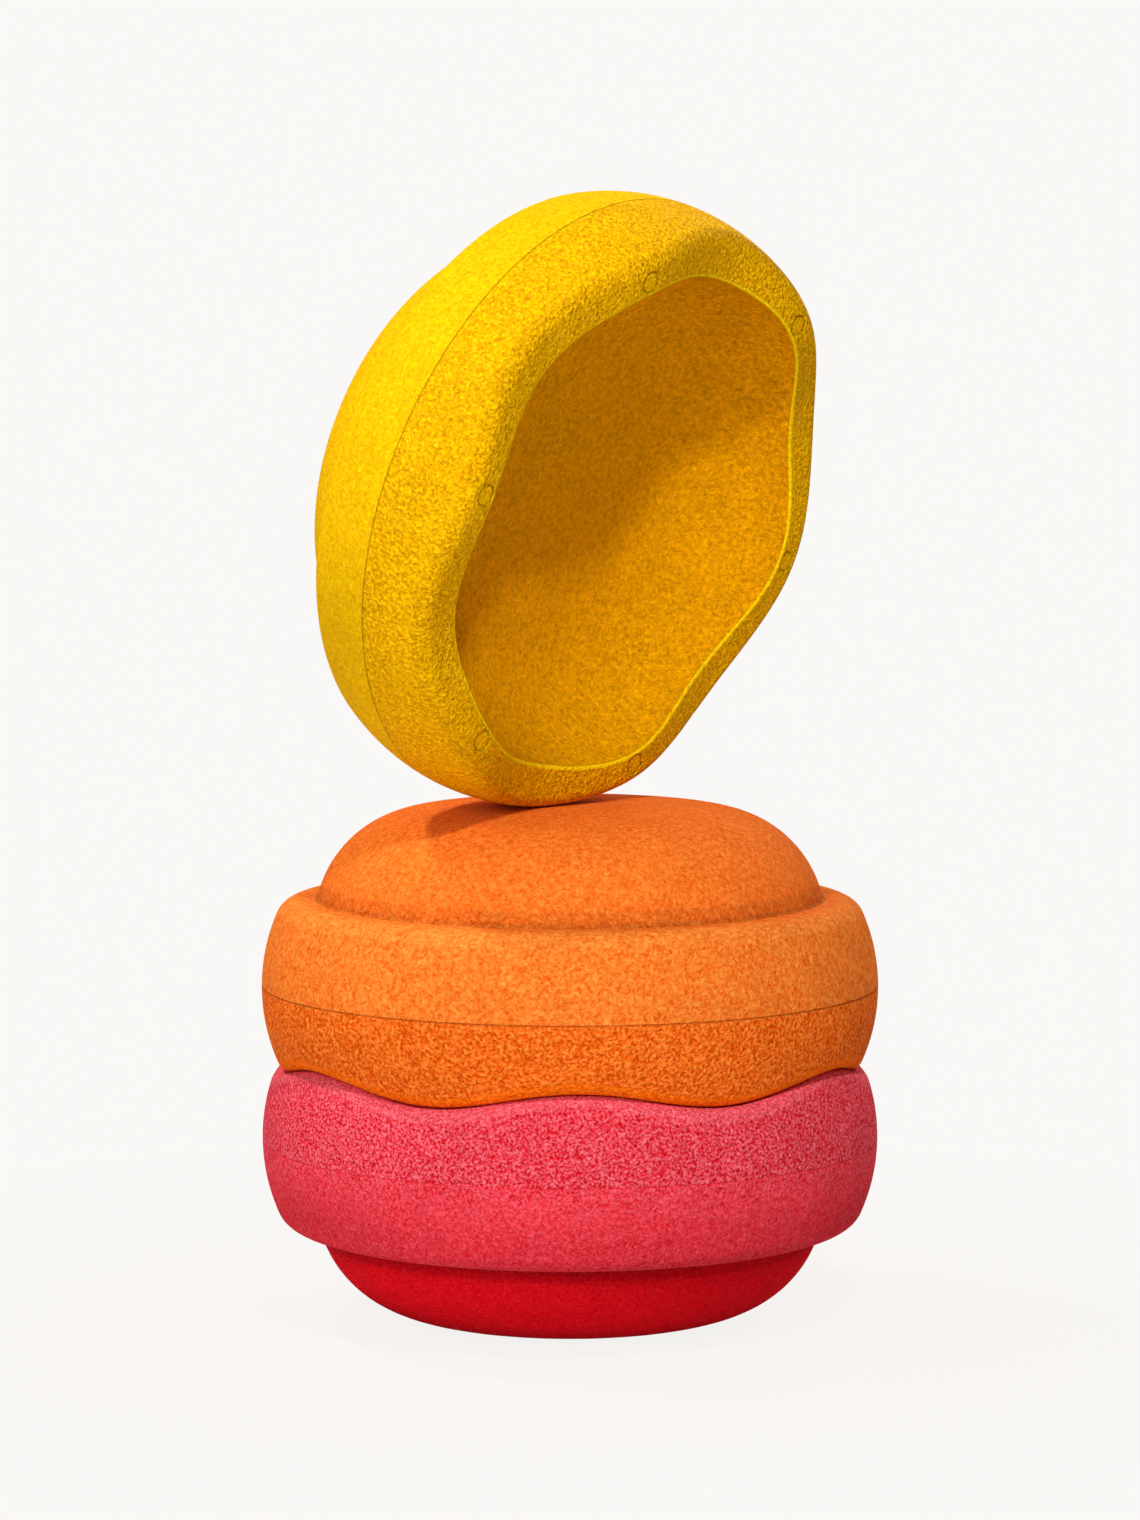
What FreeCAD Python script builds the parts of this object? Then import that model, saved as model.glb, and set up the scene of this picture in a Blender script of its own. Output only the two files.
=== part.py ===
import FreeCAD, Part
import math
import os

from FreeCAD import Placement, Rotation, Vector

# Three round balance stones for children, stacked as a tower
#
# Every stone is the same moulding of stiff bead foam: a broad dome, a ledge
# round its foot, a bulging side and an open bowl underneath. The rim round the
# bowl is wavy, with one low lobe and one shallow valley in each sixth of a turn,
# so that two stones lie rim to rim with lobes in valleys. A stone also takes
# another stone's dome in its bowl, down to the ledge.
#
# All lengths are millimetres, and all angles are degrees.
# A stone's own frame: +Z through the top of the dome, z = 0 at the lobe tips.
# The part's frame: +Z up, origin on the floor below the middle of the red dome.

# Driving dimensions of one stone
STONE_DIAMETER = 275.2
RIM_TO_PARTING = 34.6
PARTING_TO_LEDGE = 38.3
DOME_HEIGHT = 42.9
LEDGE_WIDTH = 24.8
SIDE_RADIUS = 82.0
WIDEST_BELOW_PARTING = 1.0
SHOULDER_RADIUS = 11.0
LEDGE_CORNER_RADIUS = 1.6
DOME_EDGE_RADIUS = 51.0
CROWN_RADIUS = 620.0
CROWN_FLAT_DIAMETER = 56.0

# The wavy rim
LOBES = 6
WAVE_HEIGHT = 8.4
POINTS_PER_WAVE = 12
RIM_OUTER_RADIUS = 7.0
LIP_RADIUS = 2.4

# The bowl, which another stone's dome goes into
NEST_CLEARANCE = 1.0
BOWL_HEADROOM = 12.0
BOWL_EDGE_RADIUS = 56.0

# Marks of the mould: a fine parting groove, and a ring on each lobe
PARTING_GROOVE_RADIUS = 0.6
MARK_DIAMETER = 10.0
MARK_LINE_WIDTH = 0.9
MARK_DEPTH = 0.6

# How the three stones stand in the tower
SEAT_GAP = 0.3
ORANGE_TURN = 1.5
YELLOW_FACING = -37.1
YELLOW_TILT = 18.0
YELLOW_SPIN = -20.3
YELLOW_CONTACT_X = -9.6
YELLOW_CONTACT_Y = -21.8
SEAT_SAMPLES = 720

# How far a cutting tool runs past what it cuts
OVERRUN = 6.0

FULL_TURN = 360.0
HALF_TURN = FULL_TURN / 2
QUARTER_TURN = FULL_TURN / 4
LOBE_STEP = FULL_TURN / LOBES

X_AXIS = Vector(1, 0, 0)
Y_AXIS = Vector(0, 1, 0)
Z_AXIS = Vector(0, 0, 1)

CUBIC_MILLIMETRES_PER_LITRE = 1e6

# Heights in a stone's own frame
RIM_Z = WAVE_HEIGHT / 2
PARTING_Z = RIM_Z + RIM_TO_PARTING
LEDGE_Z = PARTING_Z + PARTING_TO_LEDGE
TOP_Z = LEDGE_Z + DOME_HEIGHT
BOWL_TOP_Z = DOME_HEIGHT + BOWL_HEADROOM

# Radii in a stone's own frame
STONE_RADIUS = STONE_DIAMETER / 2
DOME_RADIUS = STONE_RADIUS - LEDGE_WIDTH
MOUTH_RADIUS = DOME_RADIUS + NEST_CLEARANCE
FLAT_RADIUS = CROWN_FLAT_DIAMETER / 2
CROWN_CENTRE_DROP = math.sqrt(CROWN_RADIUS**2 - FLAT_RADIUS**2)
SIDE_CENTRE_R = STONE_RADIUS - SIDE_RADIUS
SIDE_CENTRE_Z = PARTING_Z - WIDEST_BELOW_PARTING
CROWN_CENTRE_Z = TOP_Z - CROWN_CENTRE_DROP

# A dome's foot radius, foot height, top height and edge radius
DOME = (DOME_RADIUS, LEDGE_Z, TOP_Z, DOME_EDGE_RADIUS)
BOWL = (MOUTH_RADIUS, 0, BOWL_TOP_Z, BOWL_EDGE_RADIUS)


def at(r, z):
    """A point of the outline, r from the axis and z up."""
    return Vector(r, 0, z)


def side_r(z):
    """How far the bulging side stands from the axis at a height."""
    return SIDE_CENTRE_R + math.sqrt(SIDE_RADIUS**2 - (z - SIDE_CENTRE_Z) ** 2)


def toward(start, end, length):
    """The point at a length from start on the line through end."""
    step = end - start
    return start + step * (length / step.Length)


def arc_through(start, end, centre):
    """The shorter arc from start to end round a centre."""
    chord_middle = (start + end) * 0.5
    middle = toward(centre, chord_middle, (start - centre).Length)
    return Part.Arc(start, middle, end).toShape()


def line(start, end):
    return Part.LineSegment(start, end).toShape()


def dome_centres(foot_r, foot_z, top_z, edge_radius):
    """Centres of a dome's crown arc and of the edge arc between crown and foot.

    The crown arc ends at the flat, the edge arc starts at the foot, and the two
    arcs are tangent.
    """
    crown = at(0, top_z - CROWN_CENTRE_DROP)
    reach = CROWN_RADIUS - edge_radius
    span = at(foot_r, foot_z) - crown
    along = (reach**2 - edge_radius**2 + span.Length**2) / (2 * span.Length)
    off = math.sqrt(reach**2 - along**2)
    unit = span * (1 / span.Length)
    edge = crown + unit * along + Vector(-unit.z, 0, unit.x) * off
    return crown, edge


def dome_top(foot_r, foot_z, top_z, edge_radius):
    """The edge arc's centre, the point where the crown starts, and the crown's outline."""
    crown, edge = dome_centres(foot_r, foot_z, top_z, edge_radius)
    meet = toward(crown, edge, CROWN_RADIUS)
    flat_end = at(FLAT_RADIUS, top_z)
    return edge, meet, [arc_through(meet, flat_end, crown), line(flat_end, at(0, top_z))]


def blank_outline():
    """The outer outline of a stone from under the rim to the axis on top."""
    low = at(side_r(-OVERRUN), -OVERRUN)
    side = at(SIDE_CENTRE_R, SIDE_CENTRE_Z)
    shoulder_z = LEDGE_Z - SHOULDER_RADIUS
    inner = SIDE_RADIUS - SHOULDER_RADIUS
    shoulder_r = SIDE_CENTRE_R + math.sqrt(inner**2 - (shoulder_z - SIDE_CENTRE_Z) ** 2)
    shoulder = at(shoulder_r, shoulder_z)
    side_top = toward(side, shoulder, SIDE_RADIUS)
    ledge_out = at(shoulder_r, LEDGE_Z)

    edge, meet, crown = dome_top(*DOME)
    corner_z = LEDGE_Z + LEDGE_CORNER_RADIUS
    reach = DOME_EDGE_RADIUS + LEDGE_CORNER_RADIUS
    corner_r = edge.x + math.sqrt(reach**2 - (corner_z - edge.z) ** 2)
    corner = at(corner_r, corner_z)
    ledge_in = at(corner_r, LEDGE_Z)
    dome_foot = toward(edge, corner, DOME_EDGE_RADIUS)
    return [
        arc_through(low, side_top, side),
        arc_through(side_top, ledge_out, shoulder),
        line(ledge_out, ledge_in),
        arc_through(ledge_in, dome_foot, corner),
        arc_through(dome_foot, meet, edge),
        *crown,
    ]


def bowl_outline():
    """The bowl's outline, from under the rim to the axis at its top."""
    edge, meet, crown = dome_top(*BOWL)
    start_r = edge.x + math.sqrt(BOWL_EDGE_RADIUS**2 - (OVERRUN + edge.z) ** 2)
    return [arc_through(at(start_r, -OVERRUN), meet, edge), *crown]


def turned(outline, top_z):
    """The solid of revolution under an outline that starts at the overrun."""
    start_r = outline[0].Vertexes[0].Point.x
    closing = [line(at(0, top_z), at(0, -OVERRUN)), line(at(0, -OVERRUN), at(start_r, -OVERRUN))]
    wire = Part.Wire(Part.__sortEdges__(outline + closing))
    return Part.Face(wire).revolve(at(0, 0), Z_AXIS, FULL_TURN)


def wave_z(angle):
    """The height of the rim face at an angle round the stone."""
    return RIM_Z - RIM_Z * math.cos(math.radians(LOBES * angle))


def wave_edge(radius):
    """A closed curve on the rim face at a radius."""
    count = LOBES * POINTS_PER_WAVE
    points = []
    for k in range(count):
        angle = FULL_TURN * k / count
        a = math.radians(angle)
        points.append(Vector(radius * math.cos(a), radius * math.sin(a), wave_z(angle)))
    curve = Part.BSplineCurve()
    curve.interpolate(Points=points, PeriodicFlag=True)
    return curve.toShape()


def wave_cutter():
    """What is cut away below the wavy rim face."""
    face = Part.makeRuledSurface(wave_edge(STONE_RADIUS + OVERRUN), wave_edge(MOUTH_RADIUS - OVERRUN))
    return face.extrude(Vector(0, 0, -WAVE_HEIGHT - 2 * OVERRUN))


def rim_edges(stone, radius):
    """The edges between the wavy rim face and the wall at about a radius."""
    found = []
    for edge in stone.Edges:
        box = edge.BoundBox
        low_enough = box.ZMax < PARTING_Z / 2
        wavy = box.ZLength > RIM_Z
        middle = edge.valueAt((edge.FirstParameter + edge.LastParameter) / 2)
        r = math.hypot(middle.x, middle.y)
        if low_enough and wavy and abs(r - radius) < OVERRUN:
            found.append(edge)
    return found


def ring_mark(angle, radius):
    """The thin ring groove that the mould leaves on one lobe."""
    a = math.radians(angle)
    middle = Vector(radius * math.cos(a), radius * math.sin(a), -OVERRUN)
    height = OVERRUN + MARK_DEPTH
    outer = Part.makeCylinder(MARK_DIAMETER / 2, height, middle)
    inner = Part.makeCylinder(MARK_DIAMETER / 2 - MARK_LINE_WIDTH, height, middle)
    return outer.cut(inner)


def make_stone():
    """One stone in its own frame."""
    blank = turned(blank_outline(), TOP_Z)
    bowl = turned(bowl_outline(), BOWL_TOP_Z)
    stone = blank.cut(bowl).cut(wave_cutter())
    stone = stone.makeFillet(RIM_OUTER_RADIUS, rim_edges(stone, side_r(RIM_Z)))
    stone = stone.makeFillet(LIP_RADIUS, rim_edges(stone, MOUTH_RADIUS))
    groove = Part.makeTorus(side_r(PARTING_Z), PARTING_GROOVE_RADIUS, at(0, PARTING_Z))
    stone = stone.cut(groove)
    mark_r = (side_r(RIM_Z) - RIM_OUTER_RADIUS + MOUTH_RADIUS + LIP_RADIUS) / 2
    for k in range(LOBES):
        stone = stone.cut(ring_mark(LOBE_STEP * k, mark_r))
    return stone.Solids[0]


def placed(stone, rotation, base):
    copy = stone.copy()
    copy.Placement = Placement(base, rotation)
    return copy


def put_red(stone):
    """The lowest stone stands upside down on the flat of its dome."""
    over = Rotation(X_AXIS, HALF_TURN)
    turn = Rotation(Z_AXIS, ORANGE_TURN + LOBE_STEP / 2)
    return placed(stone, turn.multiply(over), at(0, TOP_Z))


def put_orange(stone, orange_z):
    """The middle stone lies rim to rim on the red one, its lobes in the red valleys."""
    turn = Rotation(Z_AXIS, ORANGE_TURN)
    return placed(stone, turn, at(0, orange_z))


def height_on_crown(x, y):
    """How high a rim's rounding centre is over a point, with the rim seated on a dome."""
    stand_off = RIM_OUTER_RADIUS + SEAT_GAP
    if math.hypot(x, y) < FLAT_RADIUS:
        return TOP_Z + stand_off
    return CROWN_CENTRE_Z + math.sqrt((CROWN_RADIUS + stand_off) ** 2 - x**2 - y**2)


def rounding_centre(angle):
    """The centre of the rim's outer rounding at an angle round the stone."""
    z = wave_z(angle) + RIM_OUTER_RADIUS
    r = SIDE_CENTRE_R + math.sqrt((SIDE_RADIUS - RIM_OUTER_RADIUS) ** 2 - (z - SIDE_CENTRE_Z) ** 2)
    a = math.radians(angle)
    return Vector(r * math.cos(a), r * math.sin(a), z)


def put_yellow(stone, orange_z):
    """The top stone stands on the outer edge of its rim, on the crown of the orange dome."""
    facing = Rotation(Z_AXIS, YELLOW_FACING)
    tilt = Rotation(Y_AXIS, YELLOW_TILT - QUARTER_TURN)
    spin = Rotation(Z_AXIS, YELLOW_SPIN)
    rotation = facing.multiply(tilt).multiply(spin)
    low = rotation.multVec(rounding_centre(HALF_TURN - YELLOW_SPIN))
    base = Vector(YELLOW_CONTACT_X - low.x, YELLOW_CONTACT_Y - low.y, 0)
    _, crown_start, _ = dome_top(*DOME)
    heights = []
    for k in range(SEAT_SAMPLES):
        centre = rotation.multVec(rounding_centre(FULL_TURN * k / SEAT_SAMPLES)) + base
        if math.hypot(centre.x, centre.y) < crown_start.x:
            heights.append(height_on_crown(centre.x, centre.y) - centre.z)
    base.z = orange_z + max(heights)
    return placed(stone, rotation, base)


stone = make_stone()
red = put_red(stone)
orange_z = TOP_Z - WAVE_HEIGHT + SEAT_GAP
orange = put_orange(stone, orange_z)
yellow = put_yellow(stone, orange_z)

os.makedirs("parts", exist_ok=True)
for name, solid in (("red_stone", red), ("orange_stone", orange), ("yellow_stone", yellow)):
    solid.exportStep("parts/" + name + ".step")
    box = solid.BoundBox
    litres = solid.Volume / CUBIC_MILLIMETRES_PER_LITRE
    print(name, "valid", solid.isValid(), "volume in litres", round(litres, 3))
    print("  from", round(box.XMin, 1), round(box.YMin, 1), round(box.ZMin, 1))
    print("  to", round(box.XMax, 1), round(box.YMax, 1), round(box.ZMax, 1))
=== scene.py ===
# %% [markdown]
# # Three balance stones in one tower
# The object is three loose play stones of stiff bead foam: a red one upside down, an orange one on it,
# rim to rim, and a yellow one tilted on the edge of its rim. Their real size and place come from a packed
# model, which is loaded first and never moved. Each stone then gets a finer skin of its own, which stands
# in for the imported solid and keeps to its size.

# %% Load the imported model
import math

import bpy
import numpy as np
from mathutils import Matrix, Vector


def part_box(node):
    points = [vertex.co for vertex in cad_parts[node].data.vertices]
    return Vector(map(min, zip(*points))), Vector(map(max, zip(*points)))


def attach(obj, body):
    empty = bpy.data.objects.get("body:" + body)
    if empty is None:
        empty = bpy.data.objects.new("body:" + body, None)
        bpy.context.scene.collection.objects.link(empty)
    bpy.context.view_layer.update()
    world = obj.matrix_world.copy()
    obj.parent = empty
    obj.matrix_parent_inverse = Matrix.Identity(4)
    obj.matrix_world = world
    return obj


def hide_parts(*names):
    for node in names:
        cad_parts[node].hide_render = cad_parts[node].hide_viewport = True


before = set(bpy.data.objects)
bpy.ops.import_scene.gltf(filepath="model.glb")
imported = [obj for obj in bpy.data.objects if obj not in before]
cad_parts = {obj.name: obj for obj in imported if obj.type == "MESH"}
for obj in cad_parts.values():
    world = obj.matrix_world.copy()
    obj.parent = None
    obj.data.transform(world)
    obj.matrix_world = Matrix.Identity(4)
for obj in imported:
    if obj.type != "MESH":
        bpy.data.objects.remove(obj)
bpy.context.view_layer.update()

# %% [markdown]
# ## The camera
# The tower was photographed from a little above its middle with a long lens, so its sides hardly converge.
# The place below was worked out from the ellipses of the ledges and parting lines. A long lens far away
# keeps the same perspective as the photograph, which a short lens close by would not.

# %% Set the camera
CAMERA_DISTANCE = 2.3
CAMERA_HEIGHT = 0.4674
CAMERA_PITCH = math.radians(5.389)
CAMERA_LENS = 122.9
SENSOR_WIDTH = 36.0
NEAREST_SEEN = 0.05

lens = bpy.data.cameras.new("camera")
lens.lens = CAMERA_LENS
lens.sensor_width = SENSOR_WIDTH
lens.clip_start = NEAREST_SEEN
camera = bpy.data.objects.new("camera", lens)
camera.location = (0, -CAMERA_DISTANCE, CAMERA_HEIGHT)
camera.rotation_euler = (math.pi / 2 - CAMERA_PITCH, 0, 0)
bpy.context.scene.collection.objects.link(camera)
bpy.context.scene.camera = camera
bpy.context.scene.view_settings.view_transform = "Standard"
print("camera at", tuple(round(x, 3) for x in camera.location), "with a lens of", lens.lens)

# %% [markdown]
# ## The outline of a stone
# Every stone is a turned shape: a broad dome, a flat ledge round its foot, a bulging side, a rounded rim
# and a bowl inside. A turned shape is fully described by its half outline, so that is what is drawn, as
# arcs and lines that meet smoothly. The rim is wavy, so the outline is drawn for any height of the rim:
# the two that matter are the one through a low lobe and the one through a high valley.

# %% Sizes of one stone, in metres
STONE_RADIUS = 0.1376
RIM_TO_PARTING = 0.0346
PARTING_TO_LEDGE = 0.0383
DOME_HEIGHT = 0.0429
LEDGE_WIDTH = 0.0248
SIDE_ARC = 0.082
WIDEST_BELOW_PARTING = 0.001
SHOULDER_ARC = 0.011
LEDGE_CORNER_ARC = 0.0016
DOME_EDGE_ARC = 0.051
CROWN_ARC = 0.62
CROWN_FLAT = 0.028
WAVE_HEIGHT = 0.0084
RIM_ARC = 0.007
LIP_ARC = 0.0012
NEST_CLEARANCE = 0.001
BOWL_HEADROOM = 0.012
BOWL_EDGE_ARC = 0.056
GROOVE_RADIUS = 0.0003
CREASE_SHARE = 0.08
LOBES = 6

PARTING_Z = WAVE_HEIGHT / 2 + RIM_TO_PARTING
LEDGE_Z = PARTING_Z + PARTING_TO_LEDGE
TOP_Z = LEDGE_Z + DOME_HEIGHT
BOWL_TOP_Z = DOME_HEIGHT + BOWL_HEADROOM
DOME_RADIUS = STONE_RADIUS - LEDGE_WIDTH
MOUTH_RADIUS = DOME_RADIUS + NEST_CLEARANCE
SIDE_CENTRE = np.array([STONE_RADIUS - SIDE_ARC, PARTING_Z - WIDEST_BELOW_PARTING])
print("a stone is", round(2 * STONE_RADIUS, 4), "m across and", round(TOP_Z, 4), "m high")


# %% Helpers for arcs
DOWN = -math.pi / 2
FULL_CIRCLE = 2 * math.pi


def arc(centre, radius, start, end, steps):
    """Points of an arc from one angle to another, without the first one."""
    angles = np.linspace(start, end, steps + 1)[1:]
    return np.stack([centre[0] + radius * np.cos(angles), centre[1] + radius * np.sin(angles)], 1)


def straight(start, end, steps):
    """Points of a line, without the first one."""
    shares = np.linspace(0, 1, steps + 1)[1:, None]
    return np.asarray(start) * (1 - shares) + np.asarray(end) * shares


def angle_of(point, centre):
    """The direction of a point from a centre."""
    return math.atan2(point[1] - centre[1], point[0] - centre[0])


def offset_r(centre, radius, z):
    """How far out a circle round a centre reaches at a height."""
    return centre[0] + math.sqrt(radius**2 - (z - centre[1]) ** 2)


def dome_centres(base_r, base_z, top_z, edge_arc):
    """The centres of a dome's broad crown arc and of its tighter edge arc."""
    crown = np.array([0, top_z - math.sqrt(CROWN_ARC**2 - CROWN_FLAT**2)])
    reach = CROWN_ARC - edge_arc
    span = np.array([base_r, base_z]) - crown
    length = math.hypot(*span)
    along = (reach**2 - edge_arc**2 + length**2) / (2 * length)
    off = math.sqrt(reach**2 - along**2)
    unit = span / length
    return crown, crown + unit * along + np.array([-unit[1], unit[0]]) * off


dome_edge_centre = dome_centres(DOME_RADIUS, LEDGE_Z, TOP_Z, DOME_EDGE_ARC)[1]
print("the dome's edge arc has its centre at", dome_edge_centre.round(4))

# %% Say how many rows each stretch of the outline gets
ROWS = {
    "bowl_flat": 4,
    "bowl_roof": 8,
    "bowl_wall": 26,
    "lip": 10,
    "rim": 22,
    "rim_edge": 24,
    "coarse_side": 20,
    "beside_groove": 1,
    "groove": 6,
    "fine_side": 18,
    "shoulder": 14,
    "ledge": 7,
    "ledge_corner": 6,
    "crease": 3,
    "dome_edge": 27,
    "dome_crown": 10,
    "dome_flat": 4,
}
print("named stretches of the outline:", len(ROWS))


# %% Draw the bowl's stretches
def bowl_part(rim_z):
    """From the middle of the bowl's roof down its wall, round the lip, to the rim face."""
    crown, edge = dome_centres(MOUTH_RADIUS, 0, BOWL_TOP_Z, BOWL_EDGE_ARC)
    lip_z = rim_z + LIP_ARC
    lip = np.array([offset_r(edge, BOWL_EDGE_ARC + LIP_ARC, lip_z), lip_z])
    meet = angle_of(edge, crown)
    wall_end = angle_of(lip, edge)
    flat_end = (CROWN_FLAT, BOWL_TOP_Z)
    return [
        (straight((0, BOWL_TOP_Z), flat_end, ROWS["bowl_flat"]), "bowl"),
        (arc(crown, CROWN_ARC, angle_of(flat_end, crown), meet, ROWS["bowl_roof"]), "bowl"),
        (arc(edge, BOWL_EDGE_ARC, meet, wall_end, ROWS["bowl_wall"]), "bowl"),
        (arc(lip, LIP_ARC, wall_end + math.pi, DOWN + FULL_CIRCLE, ROWS["lip"]), "lip"),
    ], (lip[0], rim_z)


print("the bowl is", round(BOWL_TOP_Z, 4), "m deep")


# %% Draw the rim's, the side's and the dome's stretches
def side_part(rim_z, land_start):
    """Across the rim face, round its outer edge and up the side, past the parting groove."""
    rim_centre_z = rim_z + RIM_ARC
    rim_centre = np.array([offset_r(SIDE_CENTRE, SIDE_ARC - RIM_ARC, rim_centre_z), rim_centre_z])
    side_start = angle_of(rim_centre, SIDE_CENTRE)
    groove_half = GROOVE_RADIUS / SIDE_ARC
    groove_angle = math.asin(WIDEST_BELOW_PARTING / SIDE_ARC)
    before, after = groove_angle - 2 * groove_half, groove_angle + 2 * groove_half
    groove = SIDE_CENTRE + SIDE_ARC * np.array([math.cos(groove_angle), math.sin(groove_angle)])
    shoulder_z = LEDGE_Z - SHOULDER_ARC
    shoulder = np.array([offset_r(SIDE_CENTRE, SIDE_ARC - SHOULDER_ARC, shoulder_z), shoulder_z])
    side_end = angle_of(shoulder, SIDE_CENTRE)
    beside = ROWS["beside_groove"]
    return [
        (straight(land_start, (rim_centre[0], rim_z), ROWS["rim"]), "rim"),
        (arc(rim_centre, RIM_ARC, DOWN, side_start, ROWS["rim_edge"]), "edge"),
        (arc(SIDE_CENTRE, SIDE_ARC, side_start, before, ROWS["coarse_side"]), "coarse"),
        (arc(SIDE_CENTRE, SIDE_ARC, before, groove_angle - groove_half, beside), "coarse"),
        (arc(groove, GROOVE_RADIUS, DOWN, DOWN - math.pi, ROWS["groove"]), "groove"),
        (arc(SIDE_CENTRE, SIDE_ARC, groove_angle + groove_half, after, beside), "fine"),
        (arc(SIDE_CENTRE, SIDE_ARC, after, side_end, ROWS["fine_side"]), "fine"),
        (arc(shoulder, SHOULDER_ARC, side_end, -DOWN, ROWS["shoulder"]), "shoulder"),
    ], (shoulder[0], LEDGE_Z)


def dome_part(ledge_start):
    """Across the ledge, up the dome and in to the axis."""
    crown, edge = dome_centres(DOME_RADIUS, LEDGE_Z, TOP_Z, DOME_EDGE_ARC)
    corner_z = LEDGE_Z + LEDGE_CORNER_ARC
    corner = np.array([offset_r(edge, DOME_EDGE_ARC + LEDGE_CORNER_ARC, corner_z), corner_z])
    foot = angle_of(corner, edge)
    meet = angle_of(edge, crown)
    crease_end = foot + CREASE_SHARE * (meet - foot)
    flat_end = (CROWN_FLAT, TOP_Z)
    return [
        (straight(ledge_start, (corner[0], LEDGE_Z), ROWS["ledge"]), "fine"),
        (arc(corner, LEDGE_CORNER_ARC, DOWN, foot - math.pi, ROWS["ledge_corner"]), "foot"),
        (arc(edge, DOME_EDGE_ARC, foot, crease_end, ROWS["crease"]), "crease"),
        (arc(edge, DOME_EDGE_ARC, crease_end, meet, ROWS["dome_edge"]), "dome"),
        (arc(crown, CROWN_ARC, meet, angle_of(flat_end, crown), ROWS["dome_crown"]), "dome"),
        (straight(flat_end, (0, TOP_Z), ROWS["dome_flat"]), "dome"),
    ]


print("the ledge is", round(LEDGE_Z, 4), "m above the lobes")


# %% Join the stretches to one outline
def stone_outline(rim_z):
    """The whole half outline, with a word for each point that says which zone it is in."""
    bowl, land_start = bowl_part(rim_z)
    side, ledge_start = side_part(rim_z, land_start)
    points, zones = [np.array([[0, BOWL_TOP_Z]])], ["bowl"]
    for stretch, zone in bowl + side + dome_part(ledge_start):
        points.append(stretch)
        zones += [zone] * len(stretch)
    return np.concatenate(points), zones


lobe_line, zones = stone_outline(0)
valley_line, _ = stone_outline(WAVE_HEIGHT)
print("the outline has", len(zones), "points, from", lobe_line[0].round(4), "to", lobe_line[-1].round(4))

# %% [markdown]
# ## From outline to stone
# A Geometry Nodes tree turns the outline round the axis. It takes the lobe outline as its mesh, with the
# valley outline as an attribute, lays out a grid with one row for each outline point, and sets every grid
# point by mixing the two outlines with a cosine of the turn. A Screw modifier could only turn one outline,
# so the rim would be flat. The columns crowd together at the lobes, where the small ring marks of the
# mould have to be cut, and the whole skin is made a trace uneven, always inwards, as real foam is.

# %% Say what each zone of the outline holds
ATTRIBUTES = ("bead", "rim", "bowl", "groove", "dome", "crease", "lip", "edge", "shoulder")
ZONE_SHARES = {
    "bowl": {"bowl": 1.0},
    # lip and edge mark where the painted highlight goes
    "lip": {"bead": 0.5, "rim": 1.0, "lip": 1.0},
    "rim": {"bead": 1.0, "rim": 1.0},
    "edge": {"bead": 1.0, "rim": 1.0, "edge": 1.0},
    "coarse": {"bead": 1.0},
    # groove carries a painted line: shade on the orange and yellow stones, a highlight on the red
    "groove": {"bead": 0.4, "groove": 1.0},
    "fine": {},
    # shoulder marks where a painted highlight goes
    "shoulder": {"shoulder": 1.0},
    # foot and crease carry a painted shade at the dome's foot
    "foot": {"crease": 1.0, "dome": 0.5},
    "crease": {"crease": 0.5, "dome": 1.0},
    "dome": {"dome": 1.0},
}
# A fade is 1 at one height of its zone and falls to 0 over a reach above it
SEAM_REACH = 0.026
LOW_DOME_REACH = 0.014
FADES = {
    # wall carries a painted shade on the bowl's wall, darkest at the lip
    "wall": ("bowl", 0.0, BOWL_TOP_Z),
    "seam": ("fine", PARTING_Z, SEAM_REACH),
    # low_dome carries a painted shade low on the dome, darkest at the ledge
    "low_dome": ("dome", LEDGE_Z, LOW_DOME_REACH),
}
print("zones:", sorted(set(zones)), "and fades:", sorted(FADES))


# %% Make the outline a mesh with its zones as attributes
def lift(line):
    """The outline's (r, z) points as points in the XZ plane."""
    return np.stack([line[:, 0], np.zeros(len(line)), line[:, 1]], 1)


def outline_mesh():
    """The lobe outline as a chain of edges, with the valley outline and the zones on its points."""
    mesh = bpy.data.meshes.new("stone_outline")
    mesh.from_pydata(lift(lobe_line).tolist(), [(k, k + 1) for k in range(len(zones) - 1)], [])
    valley = mesh.attributes.new("valley", "FLOAT_VECTOR", "POINT")
    valley.data.foreach_set("vector", lift(valley_line).ravel())
    for name in ATTRIBUTES:
        values = mesh.attributes.new(name, "FLOAT", "POINT")
        values.data.foreach_set("value", [ZONE_SHARES[zone].get(name, 0.0) for zone in zones])
    for name, (zone, start_z, reach) in FADES.items():
        values = mesh.attributes.new(name, "FLOAT", "POINT")
        shares = np.clip(1 - (lobe_line[:, 1] - start_z) / reach, 0, 1) * (np.array(zones) == zone)
        values.data.foreach_set("value", shares)
    return mesh


print("each point holds", len(ATTRIBUTES) + len(FADES), "shares")


# %% Helpers for node trees
def add(tree, kind, inputs=None, **settings):
    """A new node, with its settings, and values or links for its inputs."""
    node = tree.nodes.new(kind)
    for name, value in settings.items():
        setattr(node, name, value)
    for key, value in (inputs or {}).items():
        if isinstance(value, bpy.types.NodeSocket):
            tree.links.new(value, node.inputs[key])
        else:
            node.inputs[key].default_value = value
    return node


def calc(tree, operation, a, b=0.0, c=0.0, clamp=False):
    """The result of one Math node."""
    node = add(tree, "ShaderNodeMath", {0: a, 1: b, 2: c}, operation=operation, use_clamp=clamp)
    return node.outputs[0]


def remap(tree, value, low, high, to_low=0.0, to_high=1.0):
    """A value moved smoothly from one range to another, and held at its ends."""
    inputs = {"Value": value, "From Min": low, "From Max": high, "To Min": to_low, "To Max": to_high}
    return add(tree, "ShaderNodeMapRange", inputs, interpolation_type="SMOOTHSTEP").outputs[0]


print("node helpers ready")

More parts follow.
